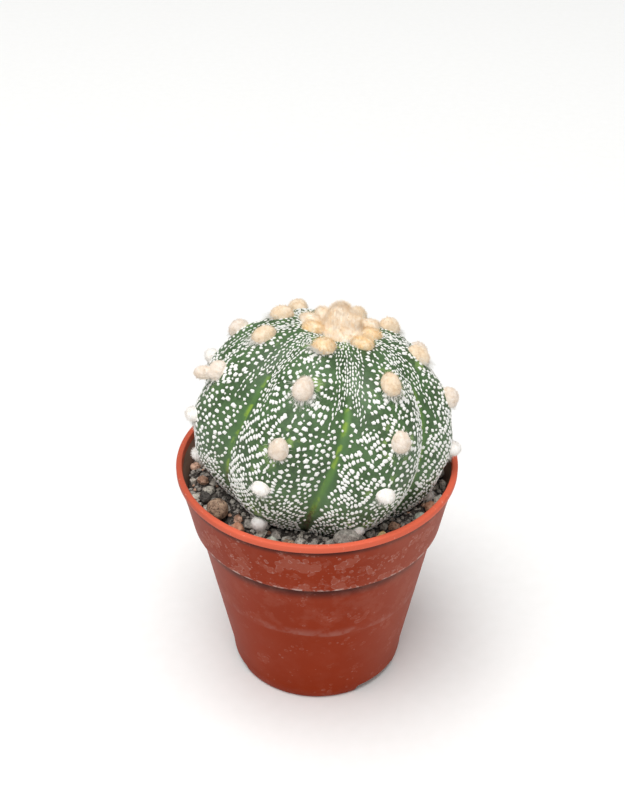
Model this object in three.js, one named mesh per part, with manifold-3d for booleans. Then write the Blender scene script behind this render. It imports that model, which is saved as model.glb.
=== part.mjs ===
// A round star cactus with eight ribs and woolly areoles, in a small plastic nursery pot of gritty soil.
// Millimetres, +Z up. The origin is on the surface that the pot stands on, at the pot's axis.
import * as THREE from "three";
import { mergeVertices } from "three/addons/utils/BufferGeometryUtils.js";
import Module from "manifold-3d";

const wasm = await Module();
wasm.setup();

// Driving dimensions

const gap = 0.3; // free space left between pieces that touch
const roundSteps = 72; // facets round the pot and the soil

const pot = {
  rimRadius: 27.5,
  height: 49.5,
  wall: 0.9,
  lipHeight: 1.4, // the thick band round the mouth
  lipWidth: 1.2,
  collarHeight: 12.6, // from the mouth down to the step
  collarTopRadius: 27.1,
  collarFootRadius: 24.95,
  stepHeight: 0.7,
  stepRadius: 23.9, // outside of the wall just under the step
  wallFootRadius: 18.2,
  cornerHeight: 4.1, // the rounded corner between wall and foot
  footRadius: 17.1,
  footWidth: 1.3,
  footHeight: 2.0, // the floor stands this far above the surface
  floor: 1.2,
};
const drains = { radius: 1.8, ringRadius: 11, count: 6 };
const footNotches = { count: 3, first: -44, width: 40, innerRadius: 13, height: 1.8 }; // angles in degrees

const soilTop = 44.6;
const soilRise = 0.9; // the soil stands this much higher against the plant

const plant = {
  centre: new THREE.Vector3(1.1, 0, 57.8),
  lean: new THREE.Vector3(Math.sin(degrees(10)), Math.sin(degrees(9)), 0.97),
  radius: 24.6, // half the width across the ribs
  halfHeight: 20.4,
  shoulder: 0.92, // below 1 makes the outline fuller than an ellipse
  crownDip: 2.5,
  crownDipRadius: 7.5,
  grooveDepth: 0.125, // share of the radius
  grooveRound: 2.2, // how broad and round the ribs are
  bodyEnd: degrees(148), // polar angle where the body runs into its neck
  twist: -10, // degrees that the ribs turn on their way down, between the two angles below
  twistFrom: degrees(55),
  twistTo: degrees(130),
};
const neckRings = [
  // [radius, height from the body's centre]
  [7.5, -19.8],
  [5.4, -22.5],
  [3.6, -27],
  [2.2, -32],
  [1.0, -37],
];

// One row of areoles on each rib. All angles are in degrees, and the polar ones start at the crown.
const ribs = [
  { azimuth: -162, areoles: [11, 34, 61, 89, 115] },
  { azimuth: -109, areoles: [22, 48, 78, 101, 127] },
  { azimuth: -58, areoles: [15, 41, 68, 95, 122] },
  { azimuth: -6, areoles: [11, 35, 61, 88, 116] },
  { azimuth: 33, areoles: [13, 25, 51, 78, 105] },
  { azimuth: 75, areoles: [14, 38, 64, 91, 117] },
  { azimuth: 118, areoles: [13, 38, 62, 88, 114] },
  { azimuth: 160, areoles: [12, 26, 50, 73, 100] },
];
const areole = { radius: 2.0, height: 1.7, bump: 0.3, bumpReach: 3.2, gap: 0.15 };
const areoleStretch = [1.15, 1.25, 1.1, 1, 1]; // pads are longest along the rib near the crown
const crownWool = { radius: 3.4, height: 6.2 };

// Loose stones on the soil: [name, azimuth in degrees, distance from the axis, length, width, height]
const stones = [
  ["lava_pebble_front_left", -145, 22.9, 4.4, 3.8, 3.2],
  ["brown_grit_front_left", -129, 23.3, 2.4, 2.2, 1.8],
  ["pale_chip_front_left", -111, 23.8, 2.8, 2.0, 1.6],
  ["grey_flint_front", -103, 23.6, 2.6, 2.4, 2.0],
  ["grey_stone_front_right", -76, 23.6, 5.6, 2.6, 2.4],
  ["yellow_chip_front_right", -60, 24.0, 2.2, 1.5, 1.9],
  ["pale_pebble_right", -35, 23.8, 3.2, 2.2, 1.9],
  ["terracotta_grit_right", -26, 24.1, 2.8, 2.0, 1.9],
  ["grey_pebble_right", 2, 24.3, 3.8, 1.9, 1.8],
  ["dark_lava_back_right", 54, 24.2, 3.8, 2.0, 1.8],
  ["grey_stone_back", 97, 23.8, 4.8, 2.6, 2.2],
  ["brown_lava_back_left", 139, 23.2, 3.8, 3.2, 2.6],
  ["pale_chip_left", 162, 23.2, 2.4, 1.8, 1.6],
  ["dark_grit_front_left", -158, 23.2, 2.8, 2.2, 1.8],
];

const colours = {
  potPlastic: material("#a3391f", 0.45),
  soil: material("#3b3733", 0.95),
  flesh: material("#3f6b3a", 0.6),
  wool: material("#e6cfae", 1.0),
  crownWool: material("#eccb93", 1.0),
  darkStone: material("#55504c", 0.9),
  brownStone: material("#7a5643", 0.9),
  paleStone: material("#b9b8a8", 0.85),
};

// Shared helpers

function degrees(angle) {
  return (angle * Math.PI) / 180;
}

function material(color, roughness) {
  return new THREE.MeshStandardMaterial({ color, roughness, metalness: 0 });
}

function solid(geometry) {
  const bare = geometry.clone();
  bare.deleteAttribute("normal");
  bare.deleteAttribute("uv");
  const merged = mergeVertices(bare, 1e-4);
  return new wasm.Manifold(
    new wasm.Mesh({
      numProp: 3,
      vertProperties: merged.attributes.position.array,
      triVerts: new Uint32Array(merged.index.array),
    }),
  );
}

function geometryOf(manifold) {
  const mesh = manifold.getMesh();
  const geometry = new THREE.BufferGeometry();
  geometry.setAttribute("position", new THREE.BufferAttribute(mesh.vertProperties, 3));
  geometry.setIndex(new THREE.BufferAttribute(mesh.triVerts, 1));
  geometry.computeVertexNormals();
  return geometry;
}

// A closed profile of [radius, height] points, anticlockwise, turned about +Z.
function turned(profile, steps) {
  const points = profile.map(([radius, height]) => new THREE.Vector2(radius, height));
  return new THREE.LatheGeometry(points, steps).rotateX(Math.PI / 2);
}

function named(name, geometry, finish) {
  const mesh = new THREE.Mesh(geometry, finish);
  mesh.name = name;
  return mesh;
}

// The pot: one moulded shell with a thick lip, a stepped collar, a tapering wall and a notched foot ring

const stepTop = pot.height - pot.collarHeight;
const stepFoot = stepTop - pot.stepHeight;
const floorTop = pot.footHeight + pot.floor;

function cornerArc(footRadius, wallRadius, low, high) {
  const arc = [];
  const count = 5;
  for (let i = 0; i <= count; i++) {
    const turn = ((1 - i / count) * Math.PI) / 2;
    arc.push([
      footRadius + (wallRadius - footRadius) * Math.cos(turn),
      low + (high - low) * (1 - Math.sin(turn)),
    ]);
  }
  return arc;
}

// The inside of the pot from the floor up to the mouth, moved inwards by `inset`.
function potInside(inset) {
  const wall = pot.wall + inset;
  return [
    ...cornerArc(pot.wallFootRadius - wall - 1.6, pot.wallFootRadius - wall + 0.2, floorTop + inset, 6.2),
    [pot.stepRadius - wall, stepFoot],
    [pot.collarFootRadius - wall, stepTop],
    [pot.collarTopRadius - wall, pot.height - pot.lipHeight],
  ];
}

function potGeometry() {
  const round = 0.35;
  const lipFoot = pot.height - pot.lipHeight;
  const outside = [
    [0, pot.footHeight],
    [pot.footRadius - pot.footWidth, pot.footHeight],
    [pot.footRadius - pot.footWidth, 0],
    ...cornerArc(pot.footRadius, pot.wallFootRadius, 0, pot.cornerHeight),
    [pot.stepRadius, stepFoot],
    [pot.collarFootRadius - round, stepTop - round],
    [pot.collarFootRadius, stepTop + round],
    [pot.collarTopRadius, lipFoot - 0.1],
    [pot.rimRadius, lipFoot + round],
    [pot.rimRadius, pot.height - round],
    [pot.rimRadius - round, pot.height],
    [pot.rimRadius - pot.lipWidth + round, pot.height],
    [pot.rimRadius - pot.lipWidth, pot.height - round],
  ];
  const shell = solid(turned([...outside, ...potInside(0).reverse(), [0, floorTop]], roundSteps));
  const cuts = [];
  for (let i = 0; i < drains.count; i++) {
    const azimuth = degrees((360 / drains.count) * i);
    cuts.push(drainHole(drains.ringRadius * Math.cos(azimuth), drains.ringRadius * Math.sin(azimuth)));
  }
  cuts.push(drainHole(0, 0));
  for (let i = 0; i < footNotches.count; i++) {
    cuts.push(footNotch(footNotches.first + (360 / footNotches.count) * i));
  }
  return geometryOf(cuts.reduce((left, cut) => left.subtract(cut), shell));
}

function drainHole(x, y) {
  const hole = new THREE.CylinderGeometry(drains.radius, drains.radius, 6, 16);
  return solid(hole.rotateX(Math.PI / 2).translate(x, y, floorTop));
}

// A cutter for the gap in the foot ring that lets water run away.
function footNotch(azimuth) {
  const half = footNotches.width / 2;
  const outer = pot.wallFootRadius + 1;
  const outline = new THREE.Shape();
  outline.absarc(0, 0, outer, degrees(azimuth - half), degrees(azimuth + half), false);
  outline.absarc(0, 0, footNotches.innerRadius, degrees(azimuth + half), degrees(azimuth - half), true);
  outline.closePath();
  const cutter = new THREE.ExtrudeGeometry(outline, {
    depth: footNotches.height + 1,
    bevelEnabled: false,
    curveSegments: 8,
  });
  return solid(cutter.translate(0, 0, -1));
}

// The plant: a ribbed globe that runs down into a neck and a short taproot in the soil

// Where an azimuth lies between the crest of a rib, at 1, and the groove beside it, at 0.
function ribShare(azimuth) {
  const crests = ribs.map((rib) => rib.azimuth);
  const from = THREE.MathUtils.euclideanModulo(azimuth - crests[0], 360) + crests[0];
  let next = crests.findIndex((crest) => crest > from);
  if (next < 0) next = crests.length;
  const before = crests[next - 1];
  const after = next < crests.length ? crests[next] : crests[0] + 360;
  const middle = (before + after) / 2;
  return Math.abs(from - middle) / ((after - before) / 2);
}

// Azimuths that follow the ribs, so that every crest and every groove has its own line of points.
function ribAzimuths(stepsPerHalf) {
  const found = [];
  ribs.forEach((rib, i) => {
    const after = i + 1 < ribs.length ? ribs[i + 1].azimuth : ribs[0].azimuth + 360;
    const half = (after - rib.azimuth) / 2;
    for (let k = 0; k < stepsPerHalf; k++) found.push(rib.azimuth + half * (k / stepsPerHalf));
    for (let k = 0; k < stepsPerHalf; k++) found.push(rib.azimuth + half * (1 + k / stepsPerHalf));
  });
  return found;
}

// How deep the grooves are at a polar angle, as a share of the radius.
function grooveAt(polar) {
  const crown = Math.min(polar / degrees(25), 1) ** 0.8;
  const foot = THREE.MathUtils.clamp((polar - degrees(60)) / degrees(70), 0, 1);
  return plant.grooveDepth * crown * (1 - 0.35 * foot);
}

// How far the ribs have turned at a polar angle, in degrees.
function twistAt(polar) {
  return plant.twist * THREE.MathUtils.smoothstep(polar, plant.twistFrom, plant.twistTo);
}

// A point on the body in the plant's own frame, pushed out by `grow`.
function bodyPoint(azimuth, polar, grow = 0) {
  const along = Math.sin(polar) ** plant.shoulder;
  const share = 1 - grooveAt(polar) * (1 - ribShare(azimuth)) ** plant.grooveRound;
  const radius = plant.radius * along;
  const dip = polar < Math.PI / 2 ? plant.crownDip * Math.exp(-((radius / plant.crownDipRadius) ** 2)) : 0;
  const around = degrees(azimuth + twistAt(polar));
  const point = new THREE.Vector3(
    radius * share * Math.cos(around),
    radius * share * Math.sin(around),
    plant.halfHeight * Math.cos(polar) - dip,
  );
  const out = new THREE.Vector3(
    Math.sin(polar) * Math.cos(around),
    Math.sin(polar) * Math.sin(around),
    Math.cos(polar),
  );
  return point.addScaledVector(out, grow + areoleBump(point));
}

// The low swelling that carries each areole.
function areoleBump(point) {
  let height = 0;
  for (const place of areolePlaces) {
    const distance = point.distanceTo(place.crest);
    height = Math.max(height, areole.bump * Math.exp(-((distance / areole.bumpReach) ** 2)));
  }
  return height;
}

// The crest point of each areole, before its swelling.
const areolePlaces = [];
ribs.forEach((rib, i) => {
  rib.areoles.forEach((angle, k) => {
    areolePlaces.push({ rib: i + 1, row: k + 1, azimuth: rib.azimuth, polar: degrees(angle) });
  });
});
for (const place of areolePlaces) {
  const around = degrees(place.azimuth + twistAt(place.polar));
  const wide = plant.radius * Math.sin(place.polar) ** plant.shoulder;
  const height = plant.halfHeight * Math.cos(place.polar);
  place.crest = new THREE.Vector3(wide * Math.cos(around), wide * Math.sin(around), height);
}

function bodyGeometry(grow) {
  const azimuths = ribAzimuths(4);
  const rows = 19;
  const rings = [];
  for (let i = 1; i <= rows; i++) {
    const polar = (plant.bodyEnd * i) / rows;
    rings.push(azimuths.map((azimuth) => bodyPoint(azimuth, polar, grow)));
  }
  for (const [radius, height] of neckRings) {
    rings.push(
      azimuths.map((azimuth) => {
        const wide = radius + grow;
        const around = degrees(azimuth + plant.twist);
        return new THREE.Vector3(wide * Math.cos(around), wide * Math.sin(around), height);
      }),
    );
  }
  const crown = bodyPoint(ribs[0].azimuth, 1e-6, grow);
  const tip = new THREE.Vector3(0, 0, neckRings.at(-1)[1] - 1 - grow);
  return lofted(rings, crown, tip);
}

// A closed skin over rings of points that run from a top point to a bottom point.
function lofted(rings, top, bottom) {
  const points = [...rings.flat(), top, bottom];
  const around = rings[0].length;
  const topIndex = points.length - 2;
  const bottomIndex = points.length - 1;
  const faces = [];
  for (let k = 0; k < around; k++) {
    const next = (k + 1) % around;
    const last = (rings.length - 1) * around;
    faces.push(topIndex, k, next);
    faces.push(bottomIndex, last + next, last + k);
    for (let i = 0; i + 1 < rings.length; i++) {
      const upper = i * around;
      const lower = upper + around;
      faces.push(upper + k, lower + k, lower + next);
      faces.push(upper + k, lower + next, upper + next);
    }
  }
  const geometry = new THREE.BufferGeometry().setFromPoints(points);
  geometry.setIndex(faces);
  geometry.computeVertexNormals();
  return geometry;
}

const plantGroup = new THREE.Group();
plantGroup.position.copy(plant.centre);
plantGroup.quaternion.setFromUnitVectors(new THREE.Vector3(0, 0, 1), plant.lean.clone().normalize());
plantGroup.updateMatrixWorld(true);
plantGroup.add(named("cactus_body", bodyGeometry(0), colours.flesh));

// The wool pad of one areole: a dome on a flat base that stands just clear of the rib
function areoleGeometry(width, length, height) {
  const dome = [
    [0, 0],
    [0.92, 0],
    [1, 0.3],
    [0.72, 0.8],
    [0, 1],
  ];
  return turned(dome, 12).scale(width, length, height);
}

const lowPadHollows = []; // room in the soil round the lowest pads
for (const place of areolePlaces) {
  const width = areole.radius * areoleSize(place);
  const length = width * areoleStretch[place.row - 1];
  const height = areole.height * areoleSize(place);
  const pad = named(
    `areole_rib${place.rib}_${place.row}`,
    areoleGeometry(width, length, height),
    place.row === 1 ? colours.crownWool : colours.wool,
  );
  const step = degrees(2);
  const below = bodyPoint(place.azimuth, place.polar + step);
  const along = below.sub(bodyPoint(place.azimuth, place.polar - step)).normalize();
  const around = degrees(place.azimuth + twistAt(place.polar));
  const outward = new THREE.Vector3(Math.sin(around), -Math.cos(around), 0).cross(along).normalize();
  const across = along.clone().cross(outward);
  pad.position.copy(bodyPoint(place.azimuth, place.polar)).addScaledVector(outward, areole.gap);
  pad.quaternion.setFromRotationMatrix(new THREE.Matrix4().makeBasis(across, along, outward));
  plantGroup.add(pad);
  if (place.polar > degrees(95)) {
    const room = areoleGeometry(width + 1.4 * gap, length + 1.4 * gap, height + 2.8 * gap);
    pad.updateMatrixWorld(true);
    lowPadHollows.push(solid(room.translate(0, 0, -1.4 * gap).applyMatrix4(pad.matrixWorld)));
  }
}

// Pads are smallest near the soil, where the wool has worn away.
function areoleSize(place) {
  if (place.row === 1) return 0.78;
  const foot = THREE.MathUtils.clamp((place.polar - degrees(95)) / degrees(30), 0, 1);
  return 1 - 0.45 * foot;
}

// The tuft of young wool that stands in the crown
function crownWoolGeometry() {
  const outline = [
    [0, 0],
    [0.72, 0],
    [1, 0.16],
    [0.92, 0.45],
    [0.78, 0.72],
    [0.5, 0.93],
    [0, 1],
  ];
  return turned(
    outline.map(([radius, rise]) => [radius * crownWool.radius, rise * crownWool.height]),
    20,
  );
}

const tuft = named("crown_wool", crownWoolGeometry(), colours.crownWool);
tuft.position.z = plant.halfHeight - plant.crownDip + areole.bump + gap;
plantGroup.add(tuft);

// The loose stones

function stoneGeometry([, azimuth, distance, length, width, height], seed) {
  const lump = mergeVertices(bareCopy(new THREE.IcosahedronGeometry(0.5, 1)), 1e-4);
  const place = lump.attributes.position;
  for (let i = 0; i < place.count; i++) {
    const rough = 1 + 0.09 * Math.sin(12.9 * (i + 1) + 3.7 * seed);
    place.setXYZ(i, place.getX(i) * rough, place.getY(i) * rough, place.getZ(i) * rough);
  }
  lump.scale(width, length, height).rotateZ(degrees(azimuth));
  const sink = 0.12 * height; // stones sit a little into the soil
  const x = distance * Math.cos(degrees(azimuth));
  const y = distance * Math.sin(degrees(azimuth));
  return lump.translate(x, y, soilTop + height / 2 - sink);
}

function bareCopy(geometry) {
  geometry.deleteAttribute("normal");
  geometry.deleteAttribute("uv");
  return geometry;
}

// The soil: fills the pot up to a little below the lip, with a hollow for the plant and one under each stone

function soilGeometry(stoneSolids) {
  const outside = potInside(gap);
  const floor = outside[0];
  const below = outside.filter(([, height]) => height < soilTop);
  const [lowRadius, lowHeight] = below.at(-1);
  const [highRadius, highHeight] = outside[below.length];
  const share = (soilTop - lowHeight) / (highHeight - lowHeight);
  const edge = lowRadius + (highRadius - lowRadius) * share;
  const heap = soilTop + soilRise;
  const outline = [[0, floor[1]], ...below, [edge, soilTop], [0.75 * edge, heap], [0, heap]];
  const fill = solid(turned(outline, roundSteps));
  const plantHollow = solid(bodyGeometry(gap).applyMatrix4(plantGroup.matrixWorld));
  const cuts = [plantHollow, ...lowPadHollows, ...stoneSolids];
  return geometryOf(cuts.reduce((left, cut) => left.subtract(cut), fill));
}

function stoneFinish(name) {
  if (/pale|yellow/.test(name)) return colours.paleStone;
  return /brown|lava|terracotta/.test(name) ? colours.brownStone : colours.darkStone;
}

const stoneMeshes = stones.map((stone, i) => named(stone[0], stoneGeometry(stone, i), stoneFinish(stone[0])));
const stoneHollows = stones.map((stone, i) => {
  const [name, azimuth, distance, ...size] = stone;
  const grown = [name, azimuth, distance, ...size.map((side) => side * 1.06 + 2 * gap)];
  const taller = grown[5] - stone[5];
  return solid(stoneGeometry(grown, i).translate(0, 0, 0.12 * taller - taller / 2));
});

const model = new THREE.Group();
model.add(named("pot", potGeometry(), colours.potPlastic));
model.add(named("soil", soilGeometry(stoneHollows), colours.soil));
model.add(plantGroup, ...stoneMeshes);

export default model;
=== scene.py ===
import math
from itertools import product

import bpy
import numpy as np
from mathutils import Matrix, Vector
from mathutils.bvhtree import BVHTree


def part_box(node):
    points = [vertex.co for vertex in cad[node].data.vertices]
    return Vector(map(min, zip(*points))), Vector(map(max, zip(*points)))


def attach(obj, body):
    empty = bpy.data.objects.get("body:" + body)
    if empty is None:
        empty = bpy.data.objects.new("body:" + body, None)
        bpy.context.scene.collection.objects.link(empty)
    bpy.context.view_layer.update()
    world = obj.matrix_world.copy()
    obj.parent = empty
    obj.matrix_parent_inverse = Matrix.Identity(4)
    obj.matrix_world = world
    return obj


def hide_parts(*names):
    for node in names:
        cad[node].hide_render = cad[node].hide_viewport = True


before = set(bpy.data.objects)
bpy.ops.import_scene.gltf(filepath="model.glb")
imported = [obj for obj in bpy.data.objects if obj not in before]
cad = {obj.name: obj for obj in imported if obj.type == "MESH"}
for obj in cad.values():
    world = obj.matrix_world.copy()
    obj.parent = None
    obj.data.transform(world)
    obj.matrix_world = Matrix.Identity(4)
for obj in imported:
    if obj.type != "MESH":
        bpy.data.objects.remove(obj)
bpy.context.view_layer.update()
bpy.ops.object.select_all(action="DESELECT")

# ---------------------------------------------------------------------------
# The pot
# A small round nursery pot, moulded in one shot from brick-red polypropylene. The mouth has a thick lip, the
# collar steps in to a tapering wall, and the foot ring has three gaps that let water run out from the floor's
# drain holes. Hard water has dried on it in pale blooms, mostly on the collar.

MM = 0.001
FACETS = 180
FLOOR_UNDER, FLOOR_TOP = 2.0, 3.2
CORNER = [(17.1 + 1.1 * math.cos(a), 4.1 * (1 - math.sin(a))) for a in np.radians(np.linspace(84, 0, 9))]
POT_RINGS = [
    (15.8, FLOOR_UNDER), (15.8, 0.25), (15.95, 0.06), (16.2, 0.0), (16.85, 0.0), *CORNER,
    (20.1, 14.8), (22.0, 25.5), (23.85, 36.0), (23.98, 36.25), (24.3, 36.38), (24.7, 36.5), (24.93, 36.75),
    (25.02, 37.15), (26.0, 42.6), (27.05, 47.85), (27.12, 48.02), (27.36, 48.1), (27.5, 48.28), (27.5, 49.12),
    (27.43, 49.36), (27.22, 49.5), (26.62, 49.5), (26.4, 49.4), (26.3, 49.15), (26.2, 48.0), (25.1, 42.3),
    (24.1, 37.0), (23.65, 36.3), (23.0, 35.8), (20.3, 20.0), (17.6, 5.4), (17.2, 4.1), (16.4, 3.35),
    (15.8, FLOOR_TOP),
]
DRAIN_RADIUS, DRAIN_RING, DRAINS = 1.8, 11.0, 6
NOTCH_FIRST, NOTCHES, NOTCH_HEIGHT = -44.0, 3, 1.8
BRICK, BRICK_DEEP, INSIDE_RED, SHADED_RED = "#95310f", "#862805", "#967869", "#451307"
# The lip's reds are painted light: a lit top brighter than the wall, and a shaded tone for its left side.
LIT_LIP_RED, LIP_IN_SHADE, LIP_SPECK = "#de664b", "#bd5740", "#f3bcaa"
# The haze colour also gives the painted sheen on the wall's sides.
LIME_HAZE_AND_SHEEN, LIME_CRUST = "#bd8070", "#dcc8c0"


def linear(colour):
    """A hex colour as the linear RGBA that a shader takes."""
    parts = [int(colour[i : i + 2], 16) / 255 for i in (1, 3, 5)]
    return (*[p / 12.92 if p <= 0.04045 else ((p + 0.055) / 1.055) ** 2.4 for p in parts], 1.0)


def only(piece):
    """Makes a piece the one selected and active object."""
    if bpy.context.object and bpy.context.object.mode != "OBJECT":
        bpy.ops.object.mode_set(mode="OBJECT")
    bpy.ops.object.select_all(action="DESELECT")
    piece.select_set(True)
    bpy.context.view_layer.objects.active = piece


def named(name):
    """Names the primitive just added, and opens it for modelling with all of it selected."""
    piece = bpy.context.object
    piece.name = piece.data.name = name
    bpy.ops.object.mode_set(mode="EDIT")
    bpy.ops.mesh.select_mode(type="EDGE")
    bpy.ops.mesh.select_all(action="SELECT")
    return piece


def modify(piece, kind, **settings):
    """Adds a modifier with its settings and applies it."""
    only(piece)
    modifier = piece.modifiers.new(kind.lower(), kind)
    for key, value in settings.items():
        setattr(modifier, key, value)
    bpy.ops.object.modifier_apply(modifier=modifier.name)


def settle(piece, crease=None):
    """Leaves a finished piece at the origin, unturned, with its place in its mesh, and smooth between creases
    that are sharper than so many degrees."""
    only(piece)
    if crease:
        bpy.ops.object.shade_smooth_by_angle(angle=math.radians(crease))
    bpy.ops.object.transform_apply(location=True, rotation=True, scale=True)
    bpy.ops.object.select_all(action="DESELECT")


def face_out():
    """Turns all of a closed mesh outward and leaves edit mode."""
    bpy.ops.mesh.select_all(action="SELECT")
    bpy.ops.mesh.normals_make_consistent(inside=False)
    bpy.ops.object.mode_set(mode="OBJECT")


def draw_on(rings):
    """Draws the selected ring of edges, the first of the rings, on through the others. Each ring is a radius
    and a height in millimetres, about the upright axis."""
    for (radius, height), (next_radius, next_height) in zip(rings, rings[1:]):
        rise = {"value": (0, 0, (next_height - height) * MM)}
        bpy.ops.mesh.extrude_edges_move(TRANSFORM_OT_translate=rise)
        share = next_radius / radius
        bpy.ops.transform.resize(value=(share, share, 1), center_override=(0, 0, 0))


def turned(name, rings, facets):
    """A disc drawn on through rings, still open at the last one and in edit mode."""
    radius, height = rings[0]
    bpy.ops.mesh.primitive_circle_add(
        vertices=facets, radius=radius * MM, location=(0, 0, height * MM), fill_type="NGON"
    )
    piece = named(name)
    draw_on(rings)
    return piece


class Value:
    """What a shader node gives, with the arithmetic that puts more nodes behind it."""

    def __init__(self, tree, socket):
        self.tree, self.socket = tree, socket

    def __add__(self, other):
        return sums("ADD", self, other)

    def __sub__(self, other):
        return sums("SUBTRACT", self, other)

    def __mul__(self, other):
        return sums("MULTIPLY", self, other)


def put(socket, value):
    """Feeds a socket from a node, or sets it to a number or a hex colour."""
    if isinstance(value, Value):
        value.tree.links.new(value.socket, socket)
    else:
        socket.default_value = linear(value) if isinstance(value, str) else value


def lay(tree, kind, inputs=(), out=0, **settings):
    """Adds a shader node with its settings and inputs, and gives one of its outputs."""
    made = tree.nodes.new("ShaderNode" + kind)
    for key, value in settings.items():
        setattr(made, key, value)
    for key, value in dict(inputs).items():
        put(made.inputs[key], value)
    return Value(tree, made.outputs[out])


def sums(how, a, b):
    """One step of arithmetic on a value and another value or a number."""
    return lay(a.tree, "Math", {0: a, 1: b}, operation=how)


def larger(a, b):
    """The larger of two values."""
    return sums("MAXIMUM", a, b)


def clamped(value):
    """A value held between 0 and 1."""
    return lay(value.tree, "Clamp", {0: value})


def fade(value, low, high, to_low=0.0, to_high=1.0):
    """A smooth rise from one limit to the other."""
    limits = {0: value, 1: low, 2: high, 3: to_low, 4: to_high}
    return lay(value.tree, "MapRange", limits, interpolation_type="SMOOTHSTEP")


def blend(share, low, high, how="MIX"):
    """A mix of two colours by a share from 0 to 1."""
    return lay(share.tree, "Mix", {0: share, 6: low, 7: high}, 2, data_type="RGBA", blend_type=how)


def grainy(at, size, detail=3.0, rough=0.55):
    """Noise whose lumps are about `size` millimetres."""
    given = {"Vector": at, "Scale": 1 / (size * MM), "Detail": detail, "Roughness": rough}
    return lay(at.tree, "TexNoise", given)


def new_look(name):
    """A new material, and the object coordinates in it."""
    look = bpy.data.materials.new(name)
    look.use_nodes = True
    return look, lay(look.node_tree, "TexCoord", out="Object")


def coat(look, colour, roughness, relief=None, strength=1.0, depth=0.1):
    """Gives a material its colour, roughness and relief, `depth` millimetres deep, and returns its shader."""
    shader = look.node_tree.nodes["Principled BSDF"]
    put(shader.inputs["Base Color"], colour)
    put(shader.inputs["Roughness"], roughness)
    if relief:
        bump = {"Strength": strength, "Distance": depth * MM, "Height": relief}
        put(shader.inputs["Normal"], lay(look.node_tree, "Bump", bump))
    return shader


def shared(name, takes, gives):
    """A new node group: its object coordinates, the values it takes and the sockets of what it gives."""
    tree = bpy.data.node_groups.new(name, "ShaderNodeTree")
    for way, sockets in (("INPUT", takes), ("OUTPUT", gives)):
        for label, kind in sockets.items():
            tree.interface.new_socket(name=label, in_out=way, socket_type="NodeSocket" + kind)
    given, result = tree.nodes.new("NodeGroupInput"), tree.nodes.new("NodeGroupOutput")
    at = lay(tree, "TexCoord", out="Object")
    return at, [Value(tree, given.outputs[label]) for label in takes], result.inputs


def use(at, group, *values):
    """Places a node group in a material with what it takes, and returns what it gives."""
    made = at.tree.nodes.new("ShaderNodeGroup")
    made.node_tree = group
    for socket, value in zip(made.inputs, values):
        put(socket, value)
    return [Value(at.tree, socket) for socket in made.outputs]


pot = turned("nursery_pot", POT_RINGS, FACETS)
bpy.ops.mesh.edge_face_add()
face_out()
cutters = []
for i in range(DRAINS + 1):
    angle = math.tau * i / DRAINS
    reach = 0 if i == DRAINS else DRAIN_RING * MM
    bpy.ops.mesh.primitive_cylinder_add(
        vertices=32,
        radius=DRAIN_RADIUS * MM,
        depth=4 * MM,
        location=(reach * math.cos(angle), reach * math.sin(angle), 2.6 * MM),
    )
    cutters.append(bpy.context.object)
for i in range(NOTCHES):
    angle = math.radians(NOTCH_FIRST + 360 / NOTCHES * i)
    bpy.ops.mesh.primitive_cube_add(
        size=1,
        scale=(7 * MM, 11.0 * MM, 2.8 * MM),
        location=(16.6 * MM * math.cos(angle), 16.6 * MM * math.sin(angle), (NOTCH_HEIGHT - 1.4) * MM),
        rotation=(0, 0, angle),
    )
    cutter = named(f"notch_cutter_{i}")
    bpy.ops.mesh.select_mode(type="FACE")
    bpy.ops.mesh.select_all(action="DESELECT")
    bpy.ops.object.mode_set(mode="OBJECT")
    for face in cutter.data.polygons:
        face.select = face.normal.z < -0.5
    bpy.ops.object.mode_set(mode="EDIT")
    bpy.ops.transform.resize(value=(1, 1.12, 1), orient_type="LOCAL")
    bpy.ops.object.mode_set(mode="OBJECT")
    modify(cutter, "BEVEL", width=0.4 * MM, segments=3, limit_method="ANGLE", angle_limit=0.7)
    cutters.append(cutter)
for cutter in cutters:
    modify(pot, "BOOLEAN", object=cutter, operation="DIFFERENCE", solver="EXACT")
    bpy.data.objects.remove(cutter)
settle(pot, crease=38)

# Dried hard water: cloud-shaped films with scalloped, brighter edges.
at, (drops, cover), gives = shared(
    "hard_water_bloom", {"Drops per metre": "Float", "Cover": "Float"}, {"Film": "Float", "Rim": "Float"}
)
bloom = at.tree
cloud = lay(bloom, "TexNoise", {"Vector": at, "Scale": drops, "Detail": 1.5, "Roughness": 0.5})
lobe = lay(bloom, "TexVoronoi", {"Vector": at, "Scale": drops * 4.0, "Randomness": 0.9})
over = cloud + (lobe * -0.3 + 0.13) + cover - 1.0
film = fade(over, 0.0, 0.02)
put(gives["Film"], film)
put(gives["Rim"], film * fade(over, 0.075, 0.015) * fade(grainy(at, 0.9, 3.0), 0.45, 0.6))

# The plastic, with its heights and its distances from the axis in millimetres.
pot_plastic, at = new_look("brick_red_plastic")
x, height = (lay(at.tree, "SeparateXYZ", {0: at}, axis) * (1 / MM) for axis in "XZ")
spread = lay(at.tree, "VectorMath", {0: at, 1: (1, 1, 0)}, operation="MULTIPLY")
from_axis = lay(at.tree, "VectorMath", {0: spread}, "Value", operation="LENGTH") * (1 / MM)
on_lip = fade(height, 48.02, 48.16)
on_collar = fade(height, 36.2, 36.7)
inside = fade(height * 0.178 + 17.05 + on_collar * 0.9 - from_axis, -0.1, 0.25)
brick = blend(grainy(at, 9.0, 4.0), BRICK_DEEP, BRICK)
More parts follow.
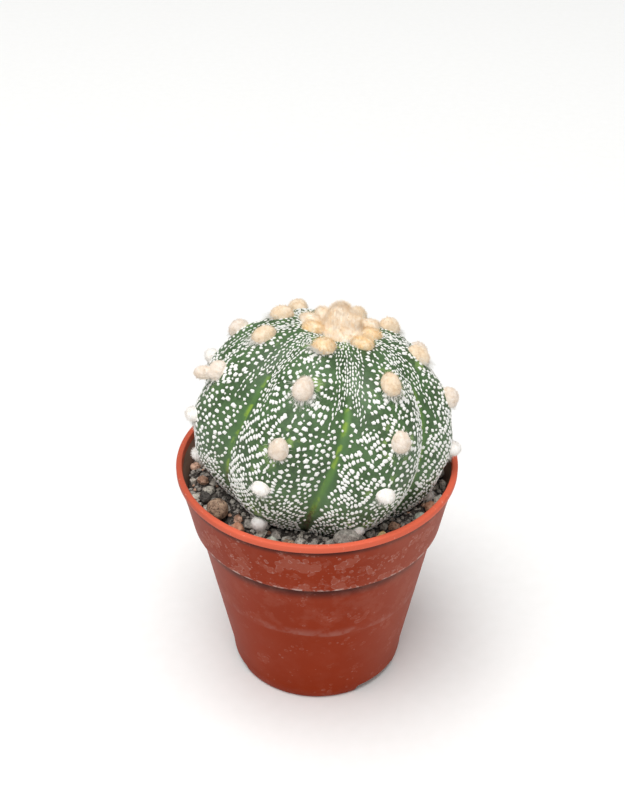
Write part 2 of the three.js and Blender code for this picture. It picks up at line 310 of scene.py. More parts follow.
# Painted shade: a darker red band under the lip and under the collar's step.
shade_under_lip = fade(height, 46.2, 47.8)
shade_under_step = fade(height, 32.6, 35.6) * fade(height, 36.5, 36.3)
brick = blend(larger(shade_under_lip, shade_under_step), brick, SHADED_RED)
cover = on_collar * fade(height, 48.0, 42.5, 0.35, 1.0) * 0.105 + 0.35
film, rim = use(at, bloom, 1 / (4.6 * MM), cover)
small_film, small_rim = use(at, bloom, 1 / (2.6 * MM), cover - 0.025)
crisp = (on_collar * 0.55 + 0.45) * fade(height, 47.9, 46.6, 0.15, 1.0)
film = larger(film, small_film * 0.6) * crisp
rim = larger(rim, small_rim * 0.6) * crisp
cloudy = fade(height, 20.0, 23.0) * fade(height, 37.0, 35.0, 0.3, 1.0)
dusty = fade(grainy(at, 4.0, 6.0, 0.7), 0.46, 0.62) * (cloudy * 1.4 + 0.6)
# Painted sheen: the wall is lightened towards its sides, most on the right, and this is added to the real
# hard-water film and dust.
painted_side_sheen = fade(x, 4.0, 20.0, 0.0, 0.2) + fade(x, -8.0, -22.0, 0.0, 0.03)
haze_and_side_sheen = clamped(film * 0.2 + dusty * 0.05 + painted_side_sheen)
tide_height = height + (grainy(at, 7.0, 2.0) * 1.6 - 0.8)
tide = fade(tide_height, 21.2, 21.7) * fade(tide_height, 24.2, 21.8)
tide = tide * fade(grainy(at, 3.4, 4.0), 0.42, 0.62, 0.1, 1.0)
edge_line = fade(height, 36.38, 36.55) * fade(height, 37.4, 36.8) * fade(grainy(at, 1.6, 5.0), 0.45, 0.6)
crust = clamped(rim * 0.22 + tide * 0.11 + edge_line * 0.62)
colour = blend(crust, blend(haze_and_side_sheen, brick, LIME_HAZE_AND_SHEEN), LIME_CRUST)
lip_specks = fade(grainy(at, 0.7, 5.0, 0.7), 0.62, 0.72, 0.0, 0.6)
# Painted light on the lip: its top is a brighter red than the wall, turning darker towards the left as painted
# shade.
lip_light_and_shade = blend(fade(x, -14.0, -27.0), LIT_LIP_RED, LIP_IN_SHADE)
colour = blend(on_lip, colour, blend(lip_specks, lip_light_and_shade, LIP_SPECK))
colour = blend(inside * (on_lip * -1.0 + 1.0), colour, INSIDE_RED)
gloss = clamped(haze_and_side_sheen * 0.35 + crust * 0.3 + 0.46)
shader = coat(pot_plastic, colour, gloss, grainy(at, 0.5, 3.0) * 0.35 + crust * 0.8, 0.35, 0.05)
shader.inputs["Specular IOR Level"].default_value = 0.07
pot.data.materials.append(pot_plastic)
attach(pot, "root")
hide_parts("pot")

# ---------------------------------------------------------------------------
# The soil
# Dry volcanic potting grit, poured round the roots up to 5 mm under the lip: a dark fine bed, thousands of
# crumbs of grey lava and pumice over it, and a few larger stones that lie loose on top.

SOIL_TOP, SOIL_RISE, SOIL_EDGE = 44.6, 0.9, 25.3
BED_DARK, BED_LIGHT = "#35302d", "#857d74"
dice = np.random.default_rng(11)


def cad_copy(name, node):
    """A merged copy of a CAD node's mesh, to be worked on."""
    copied = bpy.data.objects.new(name, cad[node].data.copy())
    bpy.context.scene.collection.objects.link(copied)
    copied.data.materials.clear()
    only(copied)
    bpy.ops.object.mode_set(mode="EDIT")
    bpy.ops.mesh.select_all(action="SELECT")
    bpy.ops.mesh.remove_doubles(threshold=0.002 * MM)
    bpy.ops.object.mode_set(mode="OBJECT")
    return copied


def clouds(name, size, depth=2):
    """Lumps of one size for a Displace modifier."""
    made = bpy.data.textures.new(name, "CLOUDS")
    made.noise_scale = size * MM
    made.noise_depth = depth
    return made


def roughen(piece, texture, strength, mid_level=0.5, **more):
    """Pushes a surface in and out by a texture, over `strength` millimetres."""
    more.update(texture=texture, strength=strength * MM, mid_level=mid_level, texture_coords="LOCAL")
    modify(piece, "DISPLACE", **more)


bed = cad_copy("soil_bed", "soil")
modify(bed, "REMESH", mode="VOXEL", voxel_size=0.5 * MM)
top = bed.vertex_groups.new(name="top")
top.add([v.index for v in bed.data.vertices if v.co.z > (SOIL_TOP - 0.9) * MM], 1.0, "REPLACE")
roughen(bed, clouds("soil_lumps", 1.6), 1.0, 0.55, direction="Z", vertex_group="top")
roughen(bed, clouds("soil_crumbs", 0.5), 0.5, vertex_group="top")
only(bed)
bpy.ops.object.shade_smooth()
settle(bed)
bed_grit, at = new_look("fine_dark_grit")
fines = grainy(at, 0.45, 5.0, 0.7)
coat(bed_grit, blend(fade(fines, 0.42, 0.7), BED_DARK, BED_LIGHT), 0.95, fines, 1.0, 0.3)
bed.data.materials.append(bed_grit)
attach(bed, "root")
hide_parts("soil")


def crumb(name, seed, stretch):
    """A broken lump of stone, one unit across."""
    bpy.ops.mesh.primitive_ico_sphere_add(subdivisions=2, radius=0.5, scale=stretch)
    made = named(name)
    bpy.ops.transform.vertex_random(offset=0.16, normal=0.4, seed=seed)
    face_out()
    settle(made)
    modify(made, "DECIMATE", ratio=0.6)
    return made


def strew(name, masters, which, places, axes, shades):
    """One mesh with a copy of a master at each place. Axes hold each copy's turn and size, and its shade from
    0 to 1 is kept for the material."""
    coordinates, corners, starts, tones = [], [], [], []
    vertices = loops = 0
    for k, master in enumerate(masters):
        mesh = master.data
        shape = np.empty(len(mesh.vertices) * 3)
        mesh.vertices.foreach_get("co", shape)
        shape = shape.reshape(-1, 3)
        turns = np.empty(len(mesh.loops), np.int64)
        mesh.loops.foreach_get("vertex_index", turns)
        firsts = np.empty(len(mesh.polygons), np.int64)
        mesh.polygons.foreach_get("loop_start", firsts)
        chosen = np.flatnonzero(which == k)
        count = np.arange(len(chosen))[:, None]
        moved = np.einsum("mij,nj->mni", axes[chosen], shape) + places[chosen][:, None]
        coordinates.append(moved.reshape(-1, 3))
        corners.append((turns[None] + vertices + count * len(shape)).ravel())
        starts.append((firsts[None] + loops + count * len(turns)).ravel())
        tones.append(np.repeat(shades[chosen], len(shape)))
        vertices += len(chosen) * len(shape)
        loops += len(chosen) * len(turns)
    mesh = bpy.data.meshes.new(name)
    mesh.vertices.add(vertices)
    mesh.vertices.foreach_set("co", np.concatenate(coordinates).ravel())
    mesh.loops.add(loops)
    mesh.loops.foreach_set("vertex_index", np.concatenate(corners).astype(np.int32))
    all_starts = np.concatenate(starts)
    mesh.polygons.add(len(all_starts))
    mesh.polygons.foreach_set("loop_start", all_starts.astype(np.int32))
    mesh.update(calc_edges=True)
    mesh.attributes.new("shade", "FLOAT", "POINT").data.foreach_set("value", np.concatenate(tones))
    made = bpy.data.objects.new(name, mesh)
    bpy.context.scene.collection.objects.link(made)
    return made


def discard(masters):
    """Removes the masters once all their copies are made."""
    for master in masters:
        bpy.data.objects.remove(master)


def random_turns(count, dice):
    """Turns in every direction, as 3 by 3 matrices."""
    q = dice.normal(size=(count, 4))
    q /= np.linalg.norm(q, axis=1)[:, None]
    w, x, y, z = q.T
    return np.stack([
        1 - 2 * (y * y + z * z), 2 * (x * y - w * z), 2 * (x * z + w * y),
        2 * (x * y + w * z), 1 - 2 * (x * x + z * z), 2 * (y * z - w * x),
        2 * (x * z - w * y), 2 * (y * z + w * x), 1 - 2 * (x * x + y * y),
    ], 1).reshape(-1, 3, 3)


def soil_height(distance):
    """The bed's height at a distance from the pot's axis: a little higher towards the plant."""
    return SOIL_TOP + SOIL_RISE * np.clip((SOIL_EDGE - distance) / (0.25 * SOIL_EDGE), 0, 1)


solid_plant = cad["cactus_body"].data
plant_surface = BVHTree.FromPolygons(
    [v.co.copy() for v in solid_plant.vertices], [tuple(p.vertices) for p in solid_plant.polygons]
)


def clear_of_plant(place, room):
    """Whether a place in millimetres is at least `room` away from the skin of the plant, on its outside."""
    point = Vector(place) * MM
    nearest, normal, _, _ = plant_surface.find_nearest(point)
    return (point - nearest).dot(normal) > room * MM


CRUMBS = [(1, 0.8, 0.7), (1, 0.9, 0.85), (1, 0.62, 0.55), (0.95, 0.85, 0.6), (1, 0.75, 0.8)]
crumb_masters = [crumb(f"crumb_{k}", 3 + k, stretch) for k, stretch in enumerate(CRUMBS)]
PEBBLES = [  # place from the pot's axis, size and shade of the pebbles that stand out
    (-22.3, -2.4, 2.6, 0.8), (-20.9, -5.6, 2.2, 0.97), (-23.4, -7.6, 2.4, 0.97), (-24.3, 2.6, 2.2, 0.82),
    (-7.6, -23.4, 2.2, 0.98), (-1.8, -24.2, 2.6, 0.55), (14.6, -20.0, 3.2, 0.4), (23.2, -8.4, 2.4, 0.97),
    (24.6, -3.2, 2.0, 0.55), (-17.2, -17.6, 2.2, 0.55), (-23.8, 6.8, 3.0, 0.2), (20.4, 14.6, 3.0, 0.45),
]
laid = []
for east, north, size, shade in PEBBLES:
    laid.append((east, north, soil_height(math.hypot(east, north)) + 0.22 * size, size, shade))
for low, high, tries in ((2.2, 3.7, 900), (1.3, 2.2, 1500), (0.55, 1.3, 3600)):
    for _ in range(tries):
        size = dice.uniform(low, high)
        angle, distance = dice.uniform(0, math.tau), math.sqrt(dice.uniform(17.5**2, 25.4**2))
        if distance + size / 2 > 25.55:
            continue
        rise = dice.uniform(-0.25, 0.28) * size + (0.5 if low < 1 else 0) * dice.random()
        spot = (distance * math.cos(angle), distance * math.sin(angle), soil_height(distance) + rise)
        near = [s for s in laid if abs(s[0] - spot[0]) < 3 and abs(s[1] - spot[1]) < 3]
        if any(math.dist(s[:3], spot) < 0.42 * (s[3] + size) for s in near):
            continue
        if clear_of_plant(spot, size / 2 - 0.15):
            laid.append((*spot, size, dice.random()))
laid = np.array(laid)
for node in cad:  # leaves room for the loose stones
    if node.endswith(("_left", "_right", "_front", "_back")):
        low, high = np.array(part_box(node)) / MM
        laid = laid[~((laid[:, :2] > low[:2] + 0.1) & (laid[:, :2] < high[:2] - 0.1)).all(1)]
count = len(laid)
axes = random_turns(count, dice) * (laid[:, 3] * MM)[:, None, None]
axes[:, 2] *= 0.8
crumbs = strew("lava_crumbs", crumb_masters, dice.integers(0, 5, count), laid[:, :3] * MM, axes, laid[:, 4])
settle(crumbs, crease=28)

# Stone: a mottled ground with pores and dust, shared by the crumbs and the loose stones.
made_of = {"Colour": "Color", "Relief": "Float"}
takes = {"Dark": "Color", "Light": "Color", "Pores": "Float"}
at, (dark, light, pores), gives = shared("stone_skin", takes, made_of)
stone_skin = at.tree
mottle = grainy(at, 0.9, 6.0, 0.7)
# Pores: each pit is painted near-black as its shade, and sunk by the bump.
shaded_pore = fade(lay(stone_skin, "TexVoronoi", {"Vector": at, "Scale": 1 / (0.42 * MM)}), 0.34, 0.2) * pores
put(gives["Colour"], blend(shaded_pore, blend(fade(mottle, 0.36, 0.66), dark, light), "#151210"))
put(gives["Relief"], mottle - shaded_pore)


def stone_look(name, dark, light, pores, roughness=0.9):
    """A stone material with its own two colours and share of pores."""
    look, at = new_look(name)
    colour, relief = use(at, stone_skin, dark, light, pores)
    coat(look, colour, roughness, relief, 0.9, 0.16)
    return look


def stored(at, name):
    """A number that the mesh keeps at each vertex."""
    return lay(at.tree, "Attribute", out="Fac", attribute_name=name)


crumb_look, at = new_look("mixed_lava_grit")
TONES_DARK = ("#7d7771", "#928b83", "#67625d", "#a19a8f", "#827b74", "#ab826b", "#736e69", "#c3bbad")
TONES_LIGHT = ("#c8c1b7", "#d8d1c6", "#b1aba2", "#e3dacd", "#cbc4ba", "#e3bba2", "#bab4aa", "#f8f3e6")
ramps = []
for tones in (TONES_DARK, TONES_LIGHT):
    ramp = at.tree.nodes.new("ShaderNodeValToRGB")
    ramp.color_ramp.interpolation = "CONSTANT"
    stops = ramp.color_ramp.elements
    for i, (tone, start) in enumerate(zip(tones, (0, 0.16, 0.34, 0.5, 0.63, 0.78, 0.86, 0.95))):
        stop = stops[i] if i < 2 else stops.new(start)
        stop.position, stop.color = start, linear(tone)
    put(ramp.inputs[0], stored(at, "shade"))
    ramps.append(Value(at.tree, ramp.outputs[0]))
colour, relief = use(at, stone_skin, *ramps, 0.6)
coat(crumb_look, colour, 0.93, relief, 0.9, 0.14)
crumbs.data.materials.append(crumb_look)
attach(crumbs, "root")
discard(crumb_masters)

# ---------------------------------------------------------------------------
# The loose stones
# Fourteen larger pieces that lie on the grit against the pot or the plant: water-worn lava pebbles, angular
# grey basalt, pale quartz chips and two crumbs of broken terracotta. Nothing holds them but their weight.

LAVA = stone_look("brown_lava", "#7d6351", "#b79a81", 0.7)
TERRACOTTA = stone_look("broken_terracotta", "#a06a50", "#c99a7e", 0.15)
BASALT = stone_look("grey_basalt", "#77736c", "#b0aaa0", 0.35)
DARK_LAVA = stone_look("dark_lava", "#3d3936", "#6d6862", 0.7)
QUARTZ = stone_look("pale_quartz", "#93998c", "#cfd3c4", 0.1, 0.6)
SANDSTONE = stone_look("yellow_chip", "#c9a468", "#ecd6a0", 0.1)
BROKEN = {  # node: (look, slot, seed, how angular from 0 to 1)
    "lava_pebble_front_left": (LAVA, "brown_stone", 1, 0.05),
    "brown_grit_front_left": (TERRACOTTA, "brown_stone", 2, 0.3),
    "pale_chip_front_left": (QUARTZ, "pale_stone", 3, 0.35),
    "grey_flint_front": (LAVA, "dark_stone", 4, 0.5),
    "grey_stone_front_right": (BASALT, "dark_stone", 5, 0.35),
    "yellow_chip_front_right": (SANDSTONE, "pale_stone", 6, 0.5),
    "pale_pebble_right": (QUARTZ, "pale_stone", 7, 0.2),
    "terracotta_grit_right": (TERRACOTTA, "brown_stone", 8, 0.25),
    "grey_pebble_right": (BASALT, "dark_stone", 9, 0.15),
    "dark_lava_back_right": (DARK_LAVA, "dark_stone", 10, 0.4),
    "grey_stone_back": (BASALT, "dark_stone", 11, 0.35),
    "brown_lava_back_left": (LAVA, "brown_stone", 12, 0.2),
    "pale_chip_left": (QUARTZ, "pale_stone", 13, 0.35),
    "dark_grit_front_left": (DARK_LAVA, "dark_stone", 14, 0.4),
}
stone_lumps, stone_pits = clouds("stone_lumps", 1.1, 1), clouds("stone_pits", 0.25, 3)
for node, (look, slot, seed, angular) in BROKEN.items():
    low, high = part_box(node)
    bpy.ops.mesh.primitive_ico_sphere_add(subdivisions=2, radius=0.5)
    stone = named("stone_" + node)
    bpy.ops.transform.vertex_random(offset=0.05 + 0.16 * angular, normal=0.6, seed=seed)
    face_out()
    if angular > 0.3:
        modify(stone, "BEVEL", width=0.05, segments=2, limit_method="ANGLE", angle_limit=0.3)
        modify(stone, "SUBSURF", levels=2, render_levels=2, subdivision_type="SIMPLE")
    else:
        modify(stone, "SUBSURF", levels=3, render_levels=3)
    reach = [max(abs(v.co[i]) for v in stone.data.vertices) * 2 for i in range(3)]
    propped = node == "grey_stone_front_right"  # lies on its neighbours, against the plant
    taller, raised = (1.6, 2.2) if propped else (1.25, 1.1) if "front" in node else (1.04, 0)
    stone.scale = [(1.04, 1.04, taller)[i] * (high[i] - low[i]) / reach[i] for i in range(3)]
    stone.location = (low + high) / 2 + Vector((0, 0, raised * MM))
    settle(stone)
    roughen(stone, stone_lumps, 0.22)
    roughen(stone, stone_pits, 0.12)
    settle(stone, crease=35)
    stone.data.materials.append(look)
    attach(stone, "root")
    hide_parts(node)

# ---------------------------------------------------------------------------
# The plant's body
# One growth: a globe of eight broad ribs with sharp grooves, which narrows into a corky neck and a taproot in
# the soil. The skin is a dull, waxy dark green, and bare and lighter along the grooves.

RIBS = {  # azimuth of each crest: polar angles of its areoles, from the crown down, in degrees
    -162: (11, 34, 61, 89, 115), -109: (22, 48, 78, 101, 127),
    -58: (15, 41, 68, 95, 122), -6: (11, 35, 61, 88, 116),
    33: (13, 25, 51, 78, 105), 75: (14, 38, 64, 91, 117),
    118: (13, 38, 62, 88, 114), 160: (12, 26, 50, 73, 100),
}
CENTRE = Vector((1.1, 0.0, 57.8))
LEAN = Vector((math.sin(math.radians(10)), math.sin(math.radians(9)), 0.97)).normalized()
UPRIGHT_TO_LEAN = Vector((0, 0, 1)).rotation_difference(LEAN).to_matrix()
HALF_WIDTH, HALF_HEIGHT, SHOULDER = 24.6, 20.4, 0.92
CROWN_DIP, CROWN_DIP_RADIUS, GROOVE, GROOVE_ROUND = 2.5, 7.5, 0.15, 2.2
SWELLING, SWELLING_REACH = 0.45, 3.0
BODY_END = 148
TWIST, TWIST_FROM, TWIST_TO = -10, 55, 130  # degrees that the ribs turn between two polar angles
NECK = [(7.5, -19.8), (5.4, -22.5), (3.6, -27.0), (2.2, -32.0), (1.0, -37.0)]
SKIN_DARK, SKIN_MID, SKIN_LIGHT, SKIN_BARE = "#334d29", "#47663c", "#5b7b4b", "#517546"
SKIN_GLOW, SKIN_LIME, SKIN_PATCH = "#648f3c", "#86a63a", "#8fae5c"
CORK, SKIN_DUST = "#5a3326", "#8b9183"
BARE = [  # polar angles and half the width of the bare strip there, by groove; the last is for all the rest
    ((45, 56, 80, 105, 125), (0, 0.9, 1.5, 1.5, 0.6)),
    ((48, 60, 85, 104, 118, 135), (0, 0.8, 1.1, 2.1, 1.5, 0.6)),
    ((50, 62, 90, 112, 125), (0, 0.8, 1.1, 0.8, 0.4)),
    ((46, 58, 90, 115, 130), (0, 0.9, 1.3, 1.0, 0.5)),
]

crests = np.array(sorted(RIBS), float)
turning = np.append(crests, crests[0] + 360)
halves = np.sort(np.concatenate([turning, (turning[:-1] + turning[1:]) / 2]))


def rib_share(azimuth):
    """Where azimuths lie between groove, 0, and crest, 1, and the width of that half rib in degrees."""
    wrapped = (azimuth - crests[0]) % 360 + crests[0]
    k = np.clip(np.searchsorted(halves, wrapped, side="right") - 1, 0, len(halves) - 2)
    low, high = halves[k], halves[k + 1]
    run = (wrapped - low) / (high - low)
    return np.where(k % 2 == 0, 1 - run, run), high - low


def twist(polar):
    """How far the ribs have turned at a polar angle, in degrees."""
    run = np.clip((polar - TWIST_FROM) / (TWIST_TO - TWIST_FROM), 0, 1)
    return TWIST * run * run * (3 - 2 * run)


def bare_half(groove, polar):
    """Half the width of the bare strip along a groove, in millimetres."""
    found = np.zeros(np.shape(polar))
    for k in range(8):
        found = np.where(groove == k, np.interp(polar, *BARE[min(k, 3)]), found)
    return found


def bare_skin(azimuth, polar):
    """Points of the skin in the plant's own upright frame, in millimetres, before the swellings."""
    a, p = np.radians(azimuth + twist(polar)), np.radians(polar)
    share, _ = rib_share(azimuth)
    deep = GROOVE * np.clip(polar / 25, 0, 1) ** 0.8 * (1 - 0.35 * np.clip((polar - 60) / 70, 0, 1))
    wide = HALF_WIDTH * np.sin(p) ** SHOULDER
    dip = np.where(polar < 90, CROWN_DIP * np.exp(-((wide / CROWN_DIP_RADIUS) ** 2)), 0)
    wide_here = wide * (1 - deep * (1 - share) ** GROOVE_ROUND)
    return np.stack([wide_here * np.cos(a), wide_here * np.sin(a), HALF_HEIGHT * np.cos(p) - dip], -1)


seats = np.array([bare_skin(np.float64(a), np.float64(p)) for a in sorted(RIBS) for p in RIBS[a]])


def skin(azimuth, polar):
    """Points of the skin with the low swelling under each areole."""
    points = bare_skin(azimuth, polar)
    a, p = np.radians(azimuth + twist(polar)), np.radians(polar)
    outward = np.stack([np.sin(p) * np.cos(a), np.sin(p) * np.sin(a), np.cos(p)], -1)
    away = np.linalg.norm(points[:, None] - seats[None], axis=2).min(1)
    return points + outward * (SWELLING * np.exp(-((away / SWELLING_REACH) ** 2)))[:, None]


def skin_axes(azimuth, polar):
    """The outward normal of the skin and the direction down the rib."""
    down = skin(azimuth, polar + 0.6) - skin(azimuth, polar - 0.6)
    round_ = skin(azimuth + 0.5, polar) - skin(azimuth - 0.5, polar)
    normal = np.cross(down, round_)
    normal /= np.linalg.norm(normal, axis=1)[:, None]
    down /= np.linalg.norm(down, axis=1)[:, None]
    return normal, down


def points_of(piece):
    """A piece's vertices as the rows of an array."""
    return np.array([v.co for v in piece.data.vertices])


bpy.ops.mesh.primitive_uv_sphere_add(segments=192, ring_count=110, radius=1)
body = named("cactus_flesh")
bpy.ops.mesh.select_mode(type="VERT")
bpy.ops.mesh.select_all(action="DESELECT")
bpy.ops.object.mode_set(mode="OBJECT")
unit = points_of(body)
polar = np.degrees(np.arccos(np.clip(unit[:, 2], -1, 1)))
even = (np.degrees(np.arctan2(unit[:, 1], unit[:, 0])) % 360) / 22.5
azimuth = np.interp(even, np.arange(17), halves)
placed = skin(azimuth, np.clip(polar, 0.01, 179.9))
placed[polar < 0.5] = bare_skin(np.float64(0), np.float64(0.01))
body.data.vertices.foreach_set("co", (placed * MM).ravel())
body.data.vertices.foreach_set("select", polar > BODY_END)
bpy.ops.object.mode_set(mode="EDIT")
bpy.ops.mesh.delete(type="VERT")
bpy.ops.mesh.select_non_manifold()
rim_radius = HALF_WIDTH * math.sin(math.radians(BODY_END)) ** SHOULDER
rim_height = HALF_HEIGHT * math.cos(math.radians(BODY_END))
draw_on([(rim_radius, rim_height), *NECK])
bpy.ops.mesh.extrude_edges_move(TRANSFORM_OT_translate={"value": (0, 0, -1 * MM)})
bpy.ops.mesh.merge(type="CENTER")
face_out()
shape = points_of(body) / MM
body_polar = np.degrees(np.arccos(np.clip(shape[:, 2] / HALF_HEIGHT, -1, 1)))
body_azimuth = np.degrees(np.arctan2(shape[:, 1], shape[:, 0])) - twist(body_polar)
share, half_width = rib_share(body_azimuth)
for label, values in {
    "from_groove": share * np.radians(half_width) * np.hypot(shape[:, 0], shape[:, 1]),
    "polar": body_polar,
    "seat_gap": np.linalg.norm(shape[:, None] - seats[None], axis=2).min(1),
    "strip": bare_half(((body_azimuth - crests[0]) % 360 // 45).astype(int), body_polar),
}.items():
    body.data.attributes.new(label, "FLOAT", "POINT").data.foreach_set("value", values)
body.data.transform(Matrix.Translation(CENTRE * MM) @ UPRIGHT_TO_LEAN.to_4x4())
only(body)
bpy.ops.object.shade_smooth()
settle(body)

skin_look, at = new_look("waxy_green_skin")
gap, angle, seat, half_strip = (stored(at, name) for name in ("from_groove", "polar", "seat_gap", "strip"))
broad, fine = grainy(at, 5.0, 4.0, 0.6), grainy(at, 0.6, 4.0, 0.65)
colour = blend(fade(broad, 0.38, 0.62), SKIN_DARK, SKIN_MID)
colour = blend(fade(fine, 0.35, 0.75, 0.0, 0.45), colour, SKIN_LIGHT)
wander = grainy(at, 2.2, 3.0) * 1.2 - 0.6
mid_band = fade(angle, 46.0, 60.0) * fade(angle, 132.0, 112.0)
bare = fade(gap + wander - half_strip, 0.9, -0.9) * mid_band
colour = blend(bare * 0.55, colour, SKIN_BARE)
glow = fade(gap, 1.1, 0.0) * fade(grainy(at, 6.0, 3.0), 0.42, 0.6, 0.15, 0.75)
colour = blend(glow * mid_band, colour, SKIN_GLOW)
seam = fade(gap + wander * 0.35, 0.6, 0.15) * mid_band
colour = blend(seam * fade(grainy(at, 2.6, 4.0), 0.45, 0.57, 0.0, 0.95), colour, SKIN_LIME)
patches = fade(seat, 4.6, 2.4) * fade(grainy(at, 3.2, 2.0), 0.56, 0.66)
colour = blend(patches * 0.7, colour, SKIN_PATCH)
scars = grainy(at, 1.0, 5.0, 0.7)
cork = fade(angle, 112.0, 135.0) * fade(scars, 0.6, 0.68)
in_groove = fade(gap, 0.8, 0.2) * fade(angle, 106.0, 116.0)
cork = larger(cork, in_groove * fade(scars, 0.46, 0.54))
colour = blend(cork * 0.8, colour, CORK)
dust = fade(angle, 95.0, 130.0, 0.0, 0.4) * fade(fine, 0.4, 0.65)
colour = blend(dust, colour, SKIN_DUST)
coat(skin_look, colour, fade(fine, 0.3, 0.7, 0.46, 0.62), broad * 3.0 + fine * 0.5, 0.5, 0.12)
body.data.materials.append(skin_look)
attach(body, "root")
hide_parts("cactus_body")

# ---------------------------------------------------------------------------
# The white scales
# Tiny flat tufts of white felt, each under a millimetre, that grow all over the skin in short chains and
# rows, thin and crowded beside the upper grooves, and leave the lower grooves bare.

dice = np.random.default_rng(5)


def scale_master(name, sides, seed, point):
    """A flat, ragged scale, one unit across, pulled out to one side by `point`."""
    bpy.ops.mesh.primitive_circle_add(vertices=sides, radius=0.5, fill_type="NGON")
    made = named(name)
    bpy.ops.transform.vertex_random(offset=0.19, seed=seed)
    bpy.ops.object.mode_set(mode="OBJECT")
    for vertex in made.data.vertices:
        vertex.co.z = 0
        vertex.co.y *= 1 + point * (vertex.co.y > 0.2)
    bpy.ops.object.mode_set(mode="EDIT")
    bpy.ops.mesh.select_all(action="SELECT")
    bpy.ops.mesh.extrude_region_move(TRANSFORM_OT_translate={"value": (0, 0, 0.2)})
    bpy.ops.transform.resize(value=(0.74, 0.74, 1))
    face_out()
    settle(made)
    return made


SCALES = [(5, 0.0), (6, 0.25), (4, 0.3), (5, 0.5), (6, 0.0), (4, 0.1), (5, 0.2)]
scale_masters = [scale_master(f"scale_{k}", sides, 20 + k, point) for k, (sides, point) in enumerate(SCALES)]
cells, kept = {}, []


def crowded(point, room):
    """Whether a scale's place is too near one already taken."""
    key = np.floor(point / 1.5).astype(int)
    for x, y, z in product((-1, 0, 1), repeat=3):
        for other in cells.get((key[0] + x, key[1] + y, key[2] + z), ()):
            if (other[0] - point[0]) ** 2 + (other[1] - point[1]) ** 2 + (other[2] - point[2]) ** 2 < room**2:
                return True
    return False


def take(point, azimuth, polar, width, length, swing):
    """Keeps a scale's place."""
    cells.setdefault(tuple(np.floor(point / 1.5).astype(int)), []).append(point)
    kept.append((azimuth, polar, width, length, swing))


def flow(azimuth, polar):
    """The angle in degrees at which chains of scales run across the rib, from straight down it. They fan out
    from the crest and turn down again beside the groove."""
    share, _ = rib_share(azimuth)
    wrapped = (azimuth - crests[0]) % 360 + crests[0]
    side = np.where((np.searchsorted(halves, wrapped, side="right") - 1) % 2 == 0, 1, -1)
    wave = 15 * np.sin(0.11 * azimuth + 0.09 * polar + 1.3) + 9 * np.sin(0.23 * polar - 0.08 * azimuth)
    return 46 * side * np.sin(np.pi * (1 - share)) + wave


def across_rib(distance, polar):
    """A distance round the plant in millimetres as degrees of azimuth."""
    return np.degrees(distance / (HALF_WIDTH * np.sin(np.radians(polar)) ** SHOULDER))


rows = []
for k in range(8):
    groove = (turning[k] + turning[k + 1]) / 2
    for side in (-1, 1):
        ragged = (k, side) == (2, -1)
        for line, offset in enumerate((2.0, 2.5, 3.0, 3.6, 4.2) if ragged else (0.3, 0.78, 1.3, 1.85, 2.45)):
            reach = 114 if ragged else (50, 54, 58, 62, 66)[line]
            at_polar = 9 + dice.uniform(0, 3)
            while at_polar < reach:
                shifted = offset + dice.normal(0, 0.16 if ragged else 0.09) + bare_half(k, at_polar)
                room = across_rib(shifted, at_polar)
                if room < 15 and dice.random() < 0.9:
                    length = dice.uniform(0.6, 0.95)
                    rows.append((groove + side * room, at_polar, dice.uniform(0.25, 0.4), length, 13))
                at_polar += math.degrees((0.78 + 0.35 * dice.random()) / 22.5)
        at_polar = 54 + dice.uniform(0, 3)
        while at_polar < 132:
            room = across_rib(max(bare_half(k, at_polar) - 0.6 + 1.4 * dice.random(), 0.2), at_polar)
            if dice.random() < 0.6:
                rows.append((groove + side * room, at_polar, dice.uniform(0.6, 0.9), 0.62, 30))
            at_polar += math.degrees((0.8 + 0.4 * dice.random()) / 22.5)
for azimuth in sorted(RIBS):
    for start in RIBS[azimuth]:
        for step in range(9):
            fall = (2.0 + 0.5 * step) / 22.0
            for way in (1, -1) if step < 3 else (1,):
                spot = start + way * math.degrees(fall)
                if 6 < spot < 140:
                    swing = across_rib(dice.normal(0, 0.3 + 0.06 * step), spot)
                    rows.append((azimuth + swing, spot, dice.uniform(0.35, 0.6), 0.75, 20))
rows = np.array(rows)
points = skin(rows[:, 0], rows[:, 1])
for point, row in zip(points, rows):
    if np.linalg.norm(seats - point, axis=1).min() > 1.6 and not crowded(point, 0.42):
        take(point, *row[:4], dice.normal(0, row[4]))

